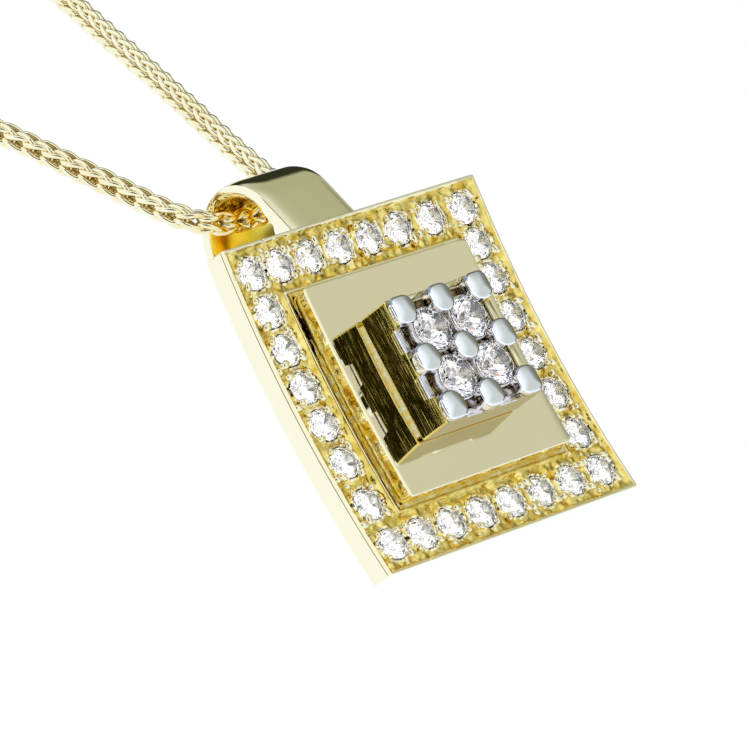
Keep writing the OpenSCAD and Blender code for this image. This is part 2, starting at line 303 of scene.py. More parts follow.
def brushed_gold():
    tone = (0.80, 0.63, 0.16)
    tint = (0.88, 0.72, 0.22)
    return metal("brushed_gold", tone, tint, (0.03, 0.2), grain=2.2, streak=(2, 0.2, 4), height=0.022)


# Cast finish of the border's front: its roughness, crumbs and random patches are the metal's own; its
# deeper amber is painted shade and gold reflected in the recess.
def cast_gold_and_painted_shade():
    tone = (0.66, 0.42, 0.04)
    tint = (1, 0.80, 0.26)
    return metal("cast_gold_and_painted_shade", tone, tint, (0.1, 0.25), grain=3.5, height=0.035, patches=2.2)


def burnished_gold():
    return metal("burnished_gold", (0.92, 0.79, 0.44), (0.96, 0.83, 0.50), (0.16, 0.26), patches=1)


def white_gold():
    return metal("white_gold", (0.90, 0.87, 0.83), (0.94, 0.91, 0.87), (0.05, 0.09))


def cast_white_gold():
    tone = (0.70, 0.63, 0.54)
    tint = (0.88, 0.82, 0.75)
    return metal("cast_white_gold", tone, tint, (0.12, 0.28), height=0.03, patches=3)


# Dark copy of the white gold for the pads' edges towards the top and right: painted shade.
def white_gold_painted_shade():
    return metal("white_gold_painted_shade", (0.27, 0.27, 0.28), (0.38, 0.38, 0.38), (0.06, 0.12))


# Near-white metal for the border stones' seats: painted light, standing in for the backdrop seen through
# the stones.
def seat_gold():
    return metal("seat_gold", (0.97, 0.95, 0.92), (1, 0.99, 0.97), (0.1, 0.3))


# Darker copy of the polished gold for the cube's two end walls: painted shade.
def end_gold_painted_shade():
    return metal("end_gold_painted_shade", (0.53, 0.43, 0.22), (0.60, 0.49, 0.26), (0.04, 0.1))


# Deeper amber for the bail's inner side: painted reflection of gold in gold inside the loop.
def amber_gold():
    return metal("amber_gold", (0.88, 0.58, 0.03), (1, 0.74, 0.12), (0.14, 0.26), patches=0.8)


# Deeper amber with pale patches for the plate's upright sides: painted reflection of the gold and stones
# around them.
def side_gold():
    tone = (0.95, 0.68, 0.06)
    return metal("side_gold", tone, (1, 0.95, 0.6), (0.08, 0.2), height=0.03, patches=3)


def solder_gold():
    tone = (0.96, 0.64, 0.05)
    return metal("solder_gold", tone, (1, 0.92, 0.58), (0.5, 0.62), height=0.015, patches=4)


# Near-black gold for the slit beside the plate: painted shadow of the deep groove.
def slit_painted_shadow_gold():
    return metal("slit_painted_shadow_gold", (0.05, 0.04, 0.01), (0.12, 0.09, 0.02), (0.3, 0.5))


def chain_gold():
    return metal("chain_gold", (0.90, 0.75, 0.40), (0.95, 0.82, 0.50), (0.03, 0.08))


def border_stone():
    return cut_stone("stone", 1, (0.06, 0.14))


# The head stones are the clear stone at a lower tone: painted shade.
def head_stone():
    return cut_stone("head_stone", 0.72, (0, 0.02))


# Studio light, with directions as seen from the pendant: right, up and front.
# Each card is its direction, half width and softness in degrees, and its colour.
SIDE_LIGHT = (1.02, 1.17, 1.52)
CARDS = (
    ((0.68, 0.17, 0.71), 38, 20, (0.64, 0.71, 0.74)),
    ((0.68, 0.66, 0.1), 22, 17, (0.44, 0.5, 0.42)),
    ((0, 0.3, 0.95), 24, 20, (1.05, 1.15, 1.3)),
    ((0.9, 0.3, 0.32), 13, 10, (0.22, 0.24, 0.25)),
    ((1, 0.1, 0.1), 16, 6, (0.2, 0.2, 0.08)),
    ((0.68, 0.6, -0.42), 18, 5, (0.03, 0.035, 0.02)),
    ((-0.2, 0.67, 0.65), 7, 3, (0.08, 0.08, 0.04)),
    ((-0.6, 0.6, 0.52), 12, 4, (0.05, 0.05, 0.03)),
    ((-0.68, 0.17, 0.71), 18, 7, (0.012, 0.012, 0.001)),
)

# What shines through the cut stones: white with grey patches, and small coloured glints
STONE_LIGHT = (2.6, 2.5, 2.42)
STONE_SHADE = (0.6, 0.59, 0.63)
GLINTS = (
    ((0.2, 0.5, 0.8), 5, 1, (0.35, 0.3, 1.2)),
    ((-0.4, 0.1, 0.9), 4, 1, (1.2, 0.55, 0.2)),
    ((0.5, -0.4, 0.7), 4, 1, (1.3, 1.0, 0.2)),
    ((0.1, -0.3, 0.9), 5, 1, (0.4, 0.5, 1.2)),
)


def add_card(nodes, links, direction, under, towards, reach, soft, value):
    dot = nodes.new("ShaderNodeVectorMath")
    dot.operation = "DOT_PRODUCT"
    dot.inputs[1].default_value = TURN.to_3x3() @ Vector(towards).normalized()
    links.new(direction, dot.inputs[0])
    mask = nodes.new("ShaderNodeMapRange")
    mask.interpolation_type = "SMOOTHSTEP"
    mask.inputs["From Min"].default_value = math.cos(math.radians(reach + soft))
    mask.inputs["From Max"].default_value = math.cos(math.radians(max(reach - soft, 0)))
    links.new(dot.outputs["Value"], mask.inputs["Value"])
    return mix_links(nodes, links, mask.outputs["Result"], under, (*value, 1))


def mix_links(nodes, links, factor, first, second):
    """A mix of two colours, each a link or a plain value."""
    made = nodes.new("ShaderNodeMix")
    made.data_type = "RGBA"
    links.new(factor, made.inputs["Factor"])
    for name, value in (("A", first), ("B", second)):
        if isinstance(value, tuple):
            made.inputs[name].default_value = value
        else:
            links.new(value, made.inputs[name])
    return made.outputs["Result"]


def make_world():
    """Soft light from all round with a few cards in it, seen only in the metal; the backdrop is white."""
    world = bpy.data.worlds.new("studio")
    world.use_nodes = True
    scene.world = world
    nodes, links = world.node_tree.nodes, world.node_tree.links
    direction = nodes.new("ShaderNodeTexCoord").outputs["Generated"]
    base = nodes.new("ShaderNodeRGB")
    base.outputs[0].default_value = (*SIDE_LIGHT, 1)
    colour = base.outputs[0]
    for card in CARDS:
        colour = add_card(nodes, links, direction, colour, *card)
    patches = nodes.new("ShaderNodeMapRange")
    patches.inputs["From Min"].default_value = 0.36
    patches.inputs["From Max"].default_value = 0.6
    links.new(add_noise(nodes, links, direction, 3.5, 1), patches.inputs["Value"])
    through = mix_links(
        nodes, links, patches.outputs["Result"], (*STONE_SHADE, 1), (*STONE_LIGHT, 1)
    )
    for glint in GLINTS:
        through = add_card(nodes, links, direction, through, *glint)
    path = nodes.new("ShaderNodeLightPath")
    colour = mix_links(nodes, links, path.outputs["Is Transmission Ray"], colour, through)
    colour = mix_links(nodes, links, path.outputs["Is Camera Ray"], colour, (1, 1, 1, 1))
    links.new(colour, nodes["Background"].inputs["Color"])


def make_floor():
    bpy.ops.mesh.primitive_plane_add(size=8, location=(0, 0, FLOOR_Z))
    floor = bpy.context.object
    floor.name = "floor"
    material, nodes, links = new_material("pale_floor")
    shader = nodes["Principled BSDF"]
    shader.inputs["Roughness"].default_value = 0.5
    patches = add_noise(nodes, links, bench_points(nodes, links), 0.02)
    tone = mix_colours(nodes, links, patches, (0.80, 0.80, 0.80), (0.84, 0.84, 0.84))
    links.new(tone, shader.inputs["Base Color"])
    floor.data.materials.append(material)
    floor.visible_glossy = False
    floor.visible_transmission = False


# Meshes


def finish_piece(name, shape, materials, body, node, smooth):
    """A piece from points in metres, riding on its body and standing for its node. smooth is the
    sharpest angle that stays soft. A shape's third list says which material each face takes."""
    mesh = bpy.data.meshes.new(name)
    mesh.from_pydata(shape[0], [], shape[1])
    mesh.update()
    for material in materials:
        mesh.materials.append(material)
    if len(shape) > 2:
        mesh.polygons.foreach_set("material_index", shape[2])
    mesh.polygons.foreach_set("use_smooth", [True] * len(mesh.polygons))
    mesh.set_sharp_from_angle(angle=math.radians(smooth))
    piece = bpy.data.objects.new(name, mesh)
    scene.collection.objects.link(piece)
    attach(piece, body)
    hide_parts(node)
    return piece


def to_world(points):
    return [tuple(BENCH @ Vector(p)) for p in points]


def bend_height(y, radius):
    return radius - math.sqrt(radius * radius - y * y)


def round_fall(edge, radius):
    """How far a rounded edge lies below its face, a distance edge in from the side."""
    if edge >= radius:
        return 0.0
    return radius - math.sqrt(radius * radius - (radius - edge) ** 2)


def edge_lines(half, radius):
    """Grid places close together on a rounded edge, from the side inwards."""
    turns = [math.radians(22.5 * k) for k in range(5)]
    return [half - radius * (1 - math.cos(t)) for t in turns]


def even_lines(first, last, step):
    count = max(1, math.ceil(abs(last - first) / step - 1e-6))
    return [first + (last - first) * i / count for i in range(1, count)]


def mirrored(outer, middle):
    """All grid places, from the lowest to the highest, from those of the high side and the middle."""
    high = sorted(set(round(v, 6) for v in outer))
    return [-v for v in reversed(high)] + middle + high


def rounded_corner(x, y, half, corner):
    """Moves a point of the square towards its round corner."""
    start = half - corner
    u = abs(x) - start
    v = abs(y) - start
    if u <= 0 or v <= 0:
        return x, y
    share = 2 * corner * corner
    new_u = u * math.sqrt(1 - v * v / share)
    new_v = v * math.sqrt(1 - u * u / share)
    return math.copysign(start + new_u, x), math.copysign(start + new_v, y)


def slab(lines, half, corner, top, bottom):
    """A square slab on a grid of lines, closed by its sides. top and bottom give the height of a point."""
    count = len(lines)
    points = []
    for height in (top, bottom):
        for y in lines:
            for x in lines:
                px, py = rounded_corner(x, y, half, corner)
                points.append((px, py, height(x, y)))
    under = count * count
    faces = []
    for j in range(count - 1):
        for i in range(count - 1):
            a = j * count + i
            faces.append((a, a + 1, a + count + 1, a + count))
            faces.append((under + a, under + a + count, under + a + count + 1, under + a + 1))
    rim = [i for i in range(count)]
    rim += [j * count + count - 1 for j in range(1, count)]
    rim += [(count - 1) * count + i for i in range(count - 2, -1, -1)]
    rim += [j * count for j in range(count - 2, 0, -1)]
    for a, b in zip(rim, rim[1:] + rim[:1]):
        faces.append((a, under + a, under + b, b))
    return points, faces


def joined(parts):
    points = []
    faces = []
    for more_points, more_faces in parts:
        start = len(points)
        points += more_points
        faces += [tuple(start + i for i in face) for face in more_faces]
    return points, faces


def pave_places():
    """The border stones' places, clockwise from the top left corner."""
    reach = PAVE_REACH
    places = [(-reach, reach)]
    places += [(x, reach) for x in TOP_STONES]
    places += [(reach, reach)]
    places += [(reach, y) for y in reversed(RIGHT_STONES)]
    places += [(reach, -reach)]
    places += [(x, -reach) for x in reversed(BOTTOM_STONES)]
    places += [(-reach, -reach)]
    places += [(-reach, y) for y in LEFT_STONES]
    return places


def stone_gap(x, y, places):
    """Distance from the edge of the nearest border stone."""
    return min(math.hypot(x - p[0], y - p[1]) for p in places) - PAVE_R


def into_field(x, y):
    """Distance past the rims into the border's front, zero or less on a rim."""
    u = abs(x)
    v = abs(y)
    inner = max(u, v) - POCKET_HALF - (THIN_RIM if v > u else INNER_RIM)
    side_rim = SIDE_RIM if x < 0 else THIN_RIM
    return min(BORDER_HALF - u - side_rim, BORDER_HALF - v - THIN_RIM, inner)


def smooth_step(t):
    t = min(max(t, 0), 1)
    return t * t * (3 - 2 * t)


def rim_tilt(x):
    """Extra depth of the left rim and of the inner rim beside it, which slope towards the left."""
    if BORDER_HALF + x < SIDE_RIM:
        return RIM_SLOPE * (SIDE_RIM - x - BORDER_HALF)
    if 0 <= -x - POCKET_HALF < INNER_RIM:
        return RIM_SLOPE * (-x - POCKET_HALF)
    return 0.0


def field_depth(x, y, places):
    """Depth of the border's front below its rims, with the seats and the cast lumps of the field."""
    u = abs(x)
    v = abs(y)
    depth = round_fall(min(BORDER_HALF - v, max(u, v) - POCKET_HALF), EDGE_R)
    depth = max(depth, round_fall(BORDER_HALF - u, EDGE_R)) + rim_tilt(x)
    near = into_field(x, y)
    if near <= 0:
        return depth
    lumps = noise.noise(Vector((x * 2.4, y * 2.4, 1.7)))
    crumbs = noise.noise(Vector((x * 6, y * 6, 4.2)))
    ramp = 0.14 + 0.18 * smooth_step((x - PAVE_REACH) / 0.3)
    if u > v and u < PAVE_REACH:
        ramp = 0.35
    drop = smooth_step(near / ramp) * (FIELD_DROP + FIELD_LUMPS * lumps + FIELD_CRUMBS * crumbs)
    gap = stone_gap(x, y, places)
    if gap < SEAT_GAP:
        return max(drop, GIRDLE_DROP + 0.04 + PAVILION * (SEAT_GAP - gap))
    collar = 0.07 * math.exp(-((gap - 0.07) / 0.06) ** 2) * smooth_step(near / 0.2)
    return drop - collar


def slit_reach(x, y):
    """Width of the open slit beside the inner rim: a fine line at the left that widens higher up."""
    if -x < abs(y):
        return 0
    widening = SLIT_GAIN * smooth_step((y - SLIT_LOW) / 1.3)
    return SLIT_W + widening * smooth_step((SLIT_HIGH - y) / 1.1)


def border_lines():
    """Grid places of the border: close together where its front changes."""
    outer = edge_lines(BORDER_HALF, EDGE_R) + [BORDER_HALF - 0.14, POCKET_HALF + INNER_RIM]
    outer += [BORDER_HALF - THIN_RIM, BORDER_HALF - SIDE_RIM, POCKET_HALF, POCKET_HALF + THIN_RIM]
    turns = [math.radians(22.5 * k) for k in range(1, 5)]
    outer += [POCKET_HALF + EDGE_R * (1 - math.cos(t)) for t in turns]
    outer += even_lines(POCKET_HALF + THIN_RIM, BORDER_HALF - SIDE_RIM, GRID_STEP)
    outer += [POCKET_HALF - d for d in (0.001, 0.011, 0.038, 0.044, 0.065, 0.09, 0.12, 0.126)]
    outer += [PLATE_HALF + 0.005]
    middle = [-PLATE_HALF] + even_lines(-PLATE_HALF, PLATE_HALF, GRID_STEP) + [PLATE_HALF]
    return mirrored(outer, middle)


def make_border():
    """The bent border, with 1 for each face left as cast, its deeper amber partly painted shade, 2 for the
    seats, painted near-white as light, 3 for the solder round the plate, 4 for the slit in it, painted
    near-black as its shadow, and 0 for the rest."""
    places = pave_places()
    lines = border_lines()

    def top(x, y):
        far = max(abs(x), abs(y))
        if far >= POCKET_HALF:
            return bend_height(y, BEND_R) - field_depth(x, y, places)
        floor = BEND_R - math.sqrt((BEND_R + POCKET_FLOOR) ** 2 - y * y)
        if far <= PLATE_HALF:
            return floor
        slit = slit_reach(x, y)
        crumbs = noise.noise(Vector((x * 5, y * 5, 8)))
        drop = SOLDER_CRUMBS * crumbs
        if SLIT_START < POCKET_HALF - far < slit:
            drop += SLIT_DEPTH + SLIT_STEEP * (slit - SLIT_W)
        return bend_height(y, BEND_R) - drop

    def bottom(x, y):
        edge = BORDER_HALF - max(abs(x), abs(y))
        low = BEND_R - math.sqrt((BEND_R + BORDER_T) ** 2 - y * y)
        return low + round_fall(edge, EDGE_R)

    points, faces = slab(lines, BORDER_HALF, BORDER_CORNER, top, bottom)
    top_count = len(lines) ** 2
    finish = []
    for face in faces:
        x = sum(points[i][0] for i in face) / len(face)
        y = sum(points[i][1] for i in face) / len(face)
        far = max(abs(x), abs(y))
        plain_rim = POCKET_HALF + (INNER_RIM if y < -abs(x) or x > abs(y) else 0.03)
        in_field = into_field(x, y) > 0.04 or far < plain_rim
        bright_cut = abs(stone_gap(x, y, places) - 0.06) < 0.06
        in_seat = stone_gap(x, y, places) < -SEAT_GAP
        # Faces of the cast field, whose deeper amber is partly painted shade.
        cast = max(face) < top_count and in_field and not bright_cut
        if PLATE_HALF < far < POCKET_HALF and cast:
            start = POCKET_HALF - max(max(abs(points[i][0]), abs(points[i][1])) for i in face)
            # Faces inside the slit take the near-black gold: painted shadow.
            finish.append(4 if SLIT_START < start < slit_reach(x, y) else 3)
        else:
            # Seat faces take the near-white metal: painted light.
            finish.append(2 if in_seat and cast else int(cast))
    return points, faces, finish


def bead(centre, normal, radius, length, turn):
    """A grain bead: a small ball drawn out a little along the stone's edge."""
    rings = 6
    sides = 10
    points = [(0, 0, radius)]
    for i in range(1, rings):
        polar = math.pi * i / rings
        for k in range(sides):
            around = 2 * math.pi * k / sides
            points.append(
                (
                    length * math.sin(polar) * math.cos(around),
                    radius * math.sin(polar) * math.sin(around),
                    radius * math.cos(polar),
                )
            )
    points.append((0, 0, -radius))
    faces = []
    for k in range(sides):
        faces.append((0, 1 + k, 1 + (k + 1) % sides))
        last = 1 + (rings - 2) * sides
        faces.append((last + k, len(points) - 1, last + (k + 1) % sides))
        for i in range(rings - 2):
            a = 1 + i * sides
            b = a + sides
            faces.append((a + k, b + k, b + (k + 1) % sides, a + (k + 1) % sides))
    spin = Matrix.Translation(centre) @ normal.to_track_quat("Z", "Y").to_matrix().to_4x4()
    spin = spin @ Matrix.Rotation(turn, 4, "Z")
    return [tuple(spin @ Vector(p)) for p in points], faces


def make_beads():
    """Four grain beads round each border stone, all a little different."""
    parts = []
    for x, y in pave_places():
        for corner in range(4):
            around = math.radians(45 + 90 * corner + random.uniform(-7, 7))
            reach = PAVE_R + 0.07 + random.uniform(-0.05, 0.06)
            bx = x + reach * math.cos(around)
            by = y + reach * math.sin(around)
            normal = Vector((0, -by, math.sqrt(BEND_R ** 2 - by * by))).normalized()
            radius = random.uniform(0.11, 0.18)
            spot = Vector((bx, by, bend_height(by, BEND_R))) - 0.03 * normal
            length = radius * random.uniform(1, 1.8)
            parts.append(bead(spot, normal, radius, length, around + random.uniform(0, math.pi)))
    return parts


def make_grains():
    """Up to three small grains beside each gap between two stones: one inside and two outside."""
    parts = []
    places = pave_places()
    for (ax, ay), (bx, by) in zip(places, places[1:] + places[:1]):
        x = (ax + bx) / 2
        y = (ay + by) / 2
        upright = abs(x) > abs(y)
        for away, along in GRAIN_PLACES:
            if random.random() < GRAINS_LEFT_OUT:
                continue
            along += random.uniform(-0.2, 0.2)
            out = math.copysign(1, x if upright else y) * away
            gx = x + (out if upright else along)
            gy = y + (along if upright else out)
            if max(abs(gx), abs(gy)) < POCKET_HALF + 0.2:
                continue
            normal = Vector((0, -gy, math.sqrt(BEND_R ** 2 - gy * gy))).normalized()
            spot = Vector((gx, gy, bend_height(gy, BEND_R))) - FIELD_DROP * normal
            radius = random.uniform(0.09, 0.19)
            length = radius * random.uniform(1, 1.5)
            parts.append(bead(spot, normal, radius, length, random.uniform(0, 3)))
    return parts


def loop_path():
    """The bail's loop as stations: centre of curvature, outward direction and outer radius."""
    loop = Vector((BAIL_UP, -BAIL_BACK))
    foot = Vector((FOOT_UP, -FOOT_BACK))
    away = foot - loop
    axis = math.atan2(away.y, away.x)
    spread_angle = math.acos((BAIL_R - FOOT_R) / away.length)
    stations = []
    big_turns = 48
    for i in range(big_turns + 1):
        turn = axis + spread_angle + (2 * math.pi - 2 * spread_angle) * i / big_turns
        stations.append((loop, turn, BAIL_R))
    small_turns = 20
    for i in range(small_turns + 1):
        turn = axis - spread_angle + 2 * spread_angle * i / small_turns
        stations.append((foot, turn, FOOT_R))
    return stations


def bail_side(half_w, edge, buffed, slope):
    """One half of the band's section, from its middle outwards and in again: place across and depth."""
    across = [half_w - edge - buffed * (1 - k / 6) ** 1.5 for k in range(7)]
    outer = [(u, shoulder(half_w - edge - u, buffed, slope)) for u in across]
    low = outer[-1][1]
    corner = [math.radians(90 - 15 * k) for k in range(1, 7)]
    outer += [(half_w - edge + edge * math.cos(t), low + edge * (1 - math.sin(t))) for t in corner]
    return outer + [(half_w, BAIL_T - edge), (half_w - edge, BAIL_T)]


def make_bail():
    """The wide band as a closed sweep, with 1 for each face of its inner side, painted a deeper amber as
    reflected gold, and 0 for the rest.
    """
    stations = loop_path()
    half_w = BAIL_W / 2
    section = bail_side(half_w, BAIL_EDGE, *RIGHT_BUFF)
    inside = len(section) - 1
    section += [(-u, d) for u, d in reversed(bail_side(half_w, BAIL_EDGE, *LEFT_BUFF))]
    points = []
    for centre, turn, radius in stations:
        for u, depth in section:
            reach = radius - depth - FOOT_FILL * (radius < BAIL_R and depth > BAIL_T / 2)
            y = centre.x + reach * math.cos(turn)
            z = centre.y + reach * math.sin(turn)
            points.append((u + BAIL_SHIFT, y, z))
    count = len(section)
    total = len(stations)
    faces = []
    finish = []
    for i in range(total):
        for k in range(count):
            a = i * count
            b = ((i + 1) % total) * count
            faces.append((a + k, b + k, b + (k + 1) % count, a + (k + 1) % count))
            # Inner-side faces take the deeper amber: painted reflection.
            finish.append(int(abs(k - inside) <= 1))
    return points, faces, finish


def shoulder(edge, width, slope):
    """Fall of a buffed edge: its slope grows from nothing, a width in, to the given one at the side."""
    if edge >= width:
        return 0.0
    return slope * width / 3 * (1 - edge / width) ** 3


def make_plate():
    """The plate, with 1 for each face of its upright sides, painted a deeper amber as reflection, and 0
    for the rest.
    """
    side_width = 1.0
    end_width = 0.14
    near = [PLATE_HALF - e for e in (0, 0.02, 0.04, 0.07, 0.1, 0.14, 0.2, 0.3, 0.4, 0.55, 0.75, 1.0)]
    middle = even_lines(side_width - PLATE_HALF, PLATE_HALF - side_width, 0.3)
    low_r = BEND_R + POCKET_FLOOR - SOLDER_GAP

    def top(x, y):
        fall = shoulder(PLATE_HALF - x, 0.7, 0.1)
        fall += shoulder(PLATE_HALF + x, 0.2, 0.5)
        fall += shoulder(PLATE_HALF - y, end_width, 0.6)
        fall += shoulder(PLATE_HALF + y, end_width, 1.3)
        return PLATE_RISE + bend_height(y, PLATE_BEND_R) - fall

    def bottom(x, y):
        return BEND_R - math.sqrt(low_r ** 2 - y * y)

    lines = mirrored(near, middle)
    points, faces = slab(lines, PLATE_HALF, PLATE_CORNER, top, bottom)
    upper = len(lines) ** 2
    # Upright sides take the deeper amber: painted reflection.
    return points, faces, [int(min(face) < upper <= max(face)) for face in faces]


def square_ring(half_x, half_y, corner):
    """Points round a rectangle with round corners: x, y, the place along the side, 0 at its middle,
    and the side's number, anticlockwise from the right."""
    steps = 90
    ring = []
    for k in range(4):
        reach, along = (half_x, half_y) if k % 2 == 0 else (half_y, half_x)
        flat = along - corner
        side = [(reach, flat * (2 * i / steps - 1)) for i in range(steps)]
        for i in range(6):
            turn = math.radians(15 * i)
            side.append(
                (reach - corner + corner * math.cos(turn), flat + corner * math.sin(turn))
            )
        c, s = ((1, 0), (0, 1), (-1, 0), (0, -1))[k]
        ring += [(c * u - s * v, s * u + c * v, v, k) for u, v in side]
    return ring


def ring_solid(rings):
    """A closed solid from rings of equal count, listed from the lowest outer one to the last inner one."""
    count = len(rings[0])
    points = [p for ring in rings for p in ring]
    faces = [tuple(reversed(range(count)))]
    for i in range(len(rings) - 1):
        for k in range(count):
            a = i * count + k
            b = i * count + (k + 1) % count
            faces.append((a, b, b + count, a + count))
    last = (len(rings) - 1) * count
    faces.append(tuple(range(last, last + count)))
    return points, faces


def rounded_box(middle, half_x, half_y, low, high, edge):
    rings = []
    for inset, z in ((edge, low), (0, low + edge), (0, high - edge), (edge, high)):
        ring = square_ring(half_x - inset, half_y - inset, 0.02 + edge - inset)
        rings.append([(middle[0] + p[0], middle[1] + p[1], z) for p in ring])
    return ring_solid(rings)


def rim_height(along, side):
    """Height of the cube's rim: notched over the side blocks and, less deep, in the middle."""
    far = abs(along)
    step = 0.1
    at_block = smooth_step((NOTCH_END - far) / step) * smooth_step((far - BLOCK_START) / step)
    in_middle = smooth_step((BLOCK_START + step - far) / step)
    deep = BLOCK_NOTCH if side in (0, 2) else NOTCH
    return CUBE_TOP - max(deep * at_block, NOTCH * in_middle)


def make_cube():
    """The open box with its notched rim, on a flared foot that leaves a shadow line below its two ends,
    with 1 for each face of those ends, painted a darker gold as shade, 2 for the foot and 0 for each
    brushed face."""
    base = PLATE_RISE + CUBE_FOOT
    rings = []
    for inset, z in ((0.07, base), (0.02, base + 0.02), (0, base + 0.07), (0, base + 0.1)):
        ring = square_ring(CUBE_HALF - inset, CUBE_HALF - inset, CUBE_CORNER)
        rings.append([(p[0], p[1], z) for p in ring])
    wall = CUBE_HALF - OPENING_HALF
    rim = [(0, 0.04), (0, 0.02), (0.006, 0.006), (0.02, 0)]
    rim += [(wall - 0.05, 0), (wall - 0.015, 0.015), (wall, 0.05)]
    for inset, drop in rim:
        ring = square_ring(CUBE_HALF - inset, CUBE_HALF - inset, CUBE_CORNER)
        rings.append([(x, y, rim_height(along, side) - drop) for x, y, along, side in ring])
    ring = square_ring(OPENING_HALF, OPENING_HALF, CUBE_CORNER)
    rings.append([(p[0], p[1], OPENING_FLOOR) for p in ring])
    box = ring_solid(rings)

    foot_rings = []
    flare = ((-0.12, 0.005), (-0.1, 0.02), (-0.08, 0.04), (-0.015, 0.17), (0, 0.2), (0.04, 0.22))
    for inset, rise in flare:
        ring = square_ring(CUBE_HALF - inset, CUBE_HALF - FOOT_ENDS, 0.05)
        foot_rings.append(
            [(p[0], p[1], PLATE_RISE + bend_height(p[1], PLATE_BEND_R) + rise) for p in ring]
        )
    points, faces = joined([box, ring_solid(foot_rings)])
    box_faces = len(box[1])
    finish = []
    for face in faces:
        x = sum(points[i][0] for i in face) / len(face)
        y = sum(points[i][1] for i in face) / len(face)
        # The end walls take the darker gold: painted shade.
        finish.append(int(abs(y) > CUBE_HALF - FOOT_ENDS - 0.01 and abs(y) > abs(x)))
    finish[box_faces:] = [2] * (len(faces) - box_faces)
    return points, faces, finish


def pad(x, y, out_x, out_y, low):
    """A post with a pillow top; its sides towards out_x and out_y are flatter."""
    sides = PAD_SIDES
    outline = []
    for k in range(sides):
        turn = 2 * math.pi * k / sides
        c = math.cos(turn)
        s = math.sin(turn)
        power = PAD_POWERS[(c * out_x > 0) + (s * out_y > 0)]
        reach = (abs(c) ** power + abs(s) ** power) ** (-1 / power)
        outline.append((reach * c, reach * s))
    points = [(x, y, PAD_TOP)]
    levels = []
    for share in PAD_SHARES:
        edge = 1 - math.sqrt(1 - share ** 16)
        levels.append((share, PAD_TOP - PAD_CROWN * share ** 2.2 - PAD_ROLL * edge))
    for share, z in levels + [(1, low)]:
        for u, v in outline:
            points.append((x + PAD_R * share * u, y + PAD_R * share * v, z))
    faces = [(0, 1 + k, 1 + (k + 1) % sides) for k in range(sides)]
    for i in range(len(levels)):
        a = 1 + i * sides
        b = a + sides
        for k in range(sides):
            faces.append((a + k, b + k, b + (k + 1) % sides, a + (k + 1) % sides))
    last = 1 + len(levels) * sides
    faces.append(tuple(last + sides - 1 - k for k in range(sides)))
    return points, faces


def pad_finish():
    """For each face of a pad: 1 on its edge towards the top and right, painted dark as shade, else 0."""
    finish = [0] * PAD_SIDES
    for share in PAD_SHARES:
        for k in range(PAD_SIDES):
            turn = 2 * math.pi * (k + 0.5) / PAD_SIDES
            # Edge rings towards the top and right take the dark white gold: painted shade.
            finish.append(int(share > 0.8 and math.cos(turn) + math.sin(turn) > -0.3))
    return finish + [0]


def collet(x, y, outer, inner, low, high):
    """A round cup under a head stone, hollowed to a cone that follows the stone's back."""
    sides = 32
    levels = (
        (outer, low),
        (outer, high - 0.04),
        (outer - 0.04, high),
        (inner, high),
        (inner, high - 0.06),
        (0.05, high - 0.06 - PAVILION * (inner - 0.05)),
    )
    points = []
    for radius, z in levels:
        for k in range(sides):
            turn = 2 * math.pi * k / sides
            points.append((x + radius * math.cos(turn), y + radius * math.sin(turn), z))
    faces = [tuple(sides - 1 - k for k in range(sides))]
    for i in range(len(levels) - 1):
        for k in range(sides):
            a = i * sides
            b = a + sides
            faces.append((a + k, a + (k + 1) % sides, b + (k + 1) % sides, b + k))
    last = (len(levels) - 1) * sides
    faces.append(tuple(last + k for k in range(sides)))
    return points, faces


def head_places():
    return [(i, j) for j in (1, 0, -1) for i in (-1, 0, 1)]


def make_pads():
    """Nine domed pads over the cube's corners, the middles of its walls and its own middle, with 1
    for each face painted dark as shade and 0 for the rest."""
    parts = []
    for i, j in head_places():
        low = CUBE_TOP + SOLDER_GAP if i and j else CUBE_TOP - NOTCH + SOLDER_GAP
        parts.append(pad(i * PRONG_PITCH, j * PRONG_PITCH, i, j, low))
    points, faces = joined(parts)
    return points, faces, pad_finish() * len(parts)


def make_head_base():
    """The casting inside the cube: floor, columns, four cups and the eight blocks in the notches,
    with 1 for each face of the four blocks at the right and top, made yellow gold as painted reflection of
    the cube's gold walls."""
    inside = OPENING_HALF - 0.03
    floor = OPENING_FLOOR + SOLDER_GAP
    parts = [rounded_box((0, 0), inside, inside, floor, floor + 0.05, 0.02)]
    cup = STONE_GIRDLE - 0.06
    for i, j in head_places():
        column = PRONG_R - 0.06
        reach = PRONG_PITCH if not (i and j) else inside - column
        place = (i * min(PRONG_PITCH, reach), j * min(PRONG_PITCH, reach))
        parts.append(rounded_box(place, column, column, floor, CUBE_TOP + 0.06, 0.03))
    for j in (-0.5, 0.5):
        for i in (-0.5, 0.5):
            parts.append(collet(i * PRONG_PITCH, j * PRONG_PITCH, 0.97, HEAD_R, floor, cup))
    block_half = (NOTCH_END - BLOCK_START) / 2 - SOLDER_GAP
    along = (NOTCH_END + BLOCK_START) / 2
    low = CUBE_TOP - BLOCK_NOTCH + SOLDER_GAP
    high = CUBE_TOP - BLOCK_DROP
    middle = CUBE_HALF - SOLDER_GAP - BLOCK_HALF_T
    for side in (-1, 1):
        for end in (-1, 1):
            upright = (side * middle, end * along)
            level = (end * along, side * middle)
            parts.append(rounded_box(upright, BLOCK_HALF_T, block_half, low, high, 0.03))
            parts.append(rounded_box(level, block_half, BLOCK_HALF_T, low, high, 0.03))
    points, faces = joined(parts)
    # The four blocks at the right and top take yellow gold: painted reflection of the gold walls beside
    # them.
    painted_reflection_blocks = sum(len(part[1]) for part in parts[-4:])
    return points, faces, [0] * (len(faces) - painted_reflection_blocks) + [1] * painted_reflection_blocks


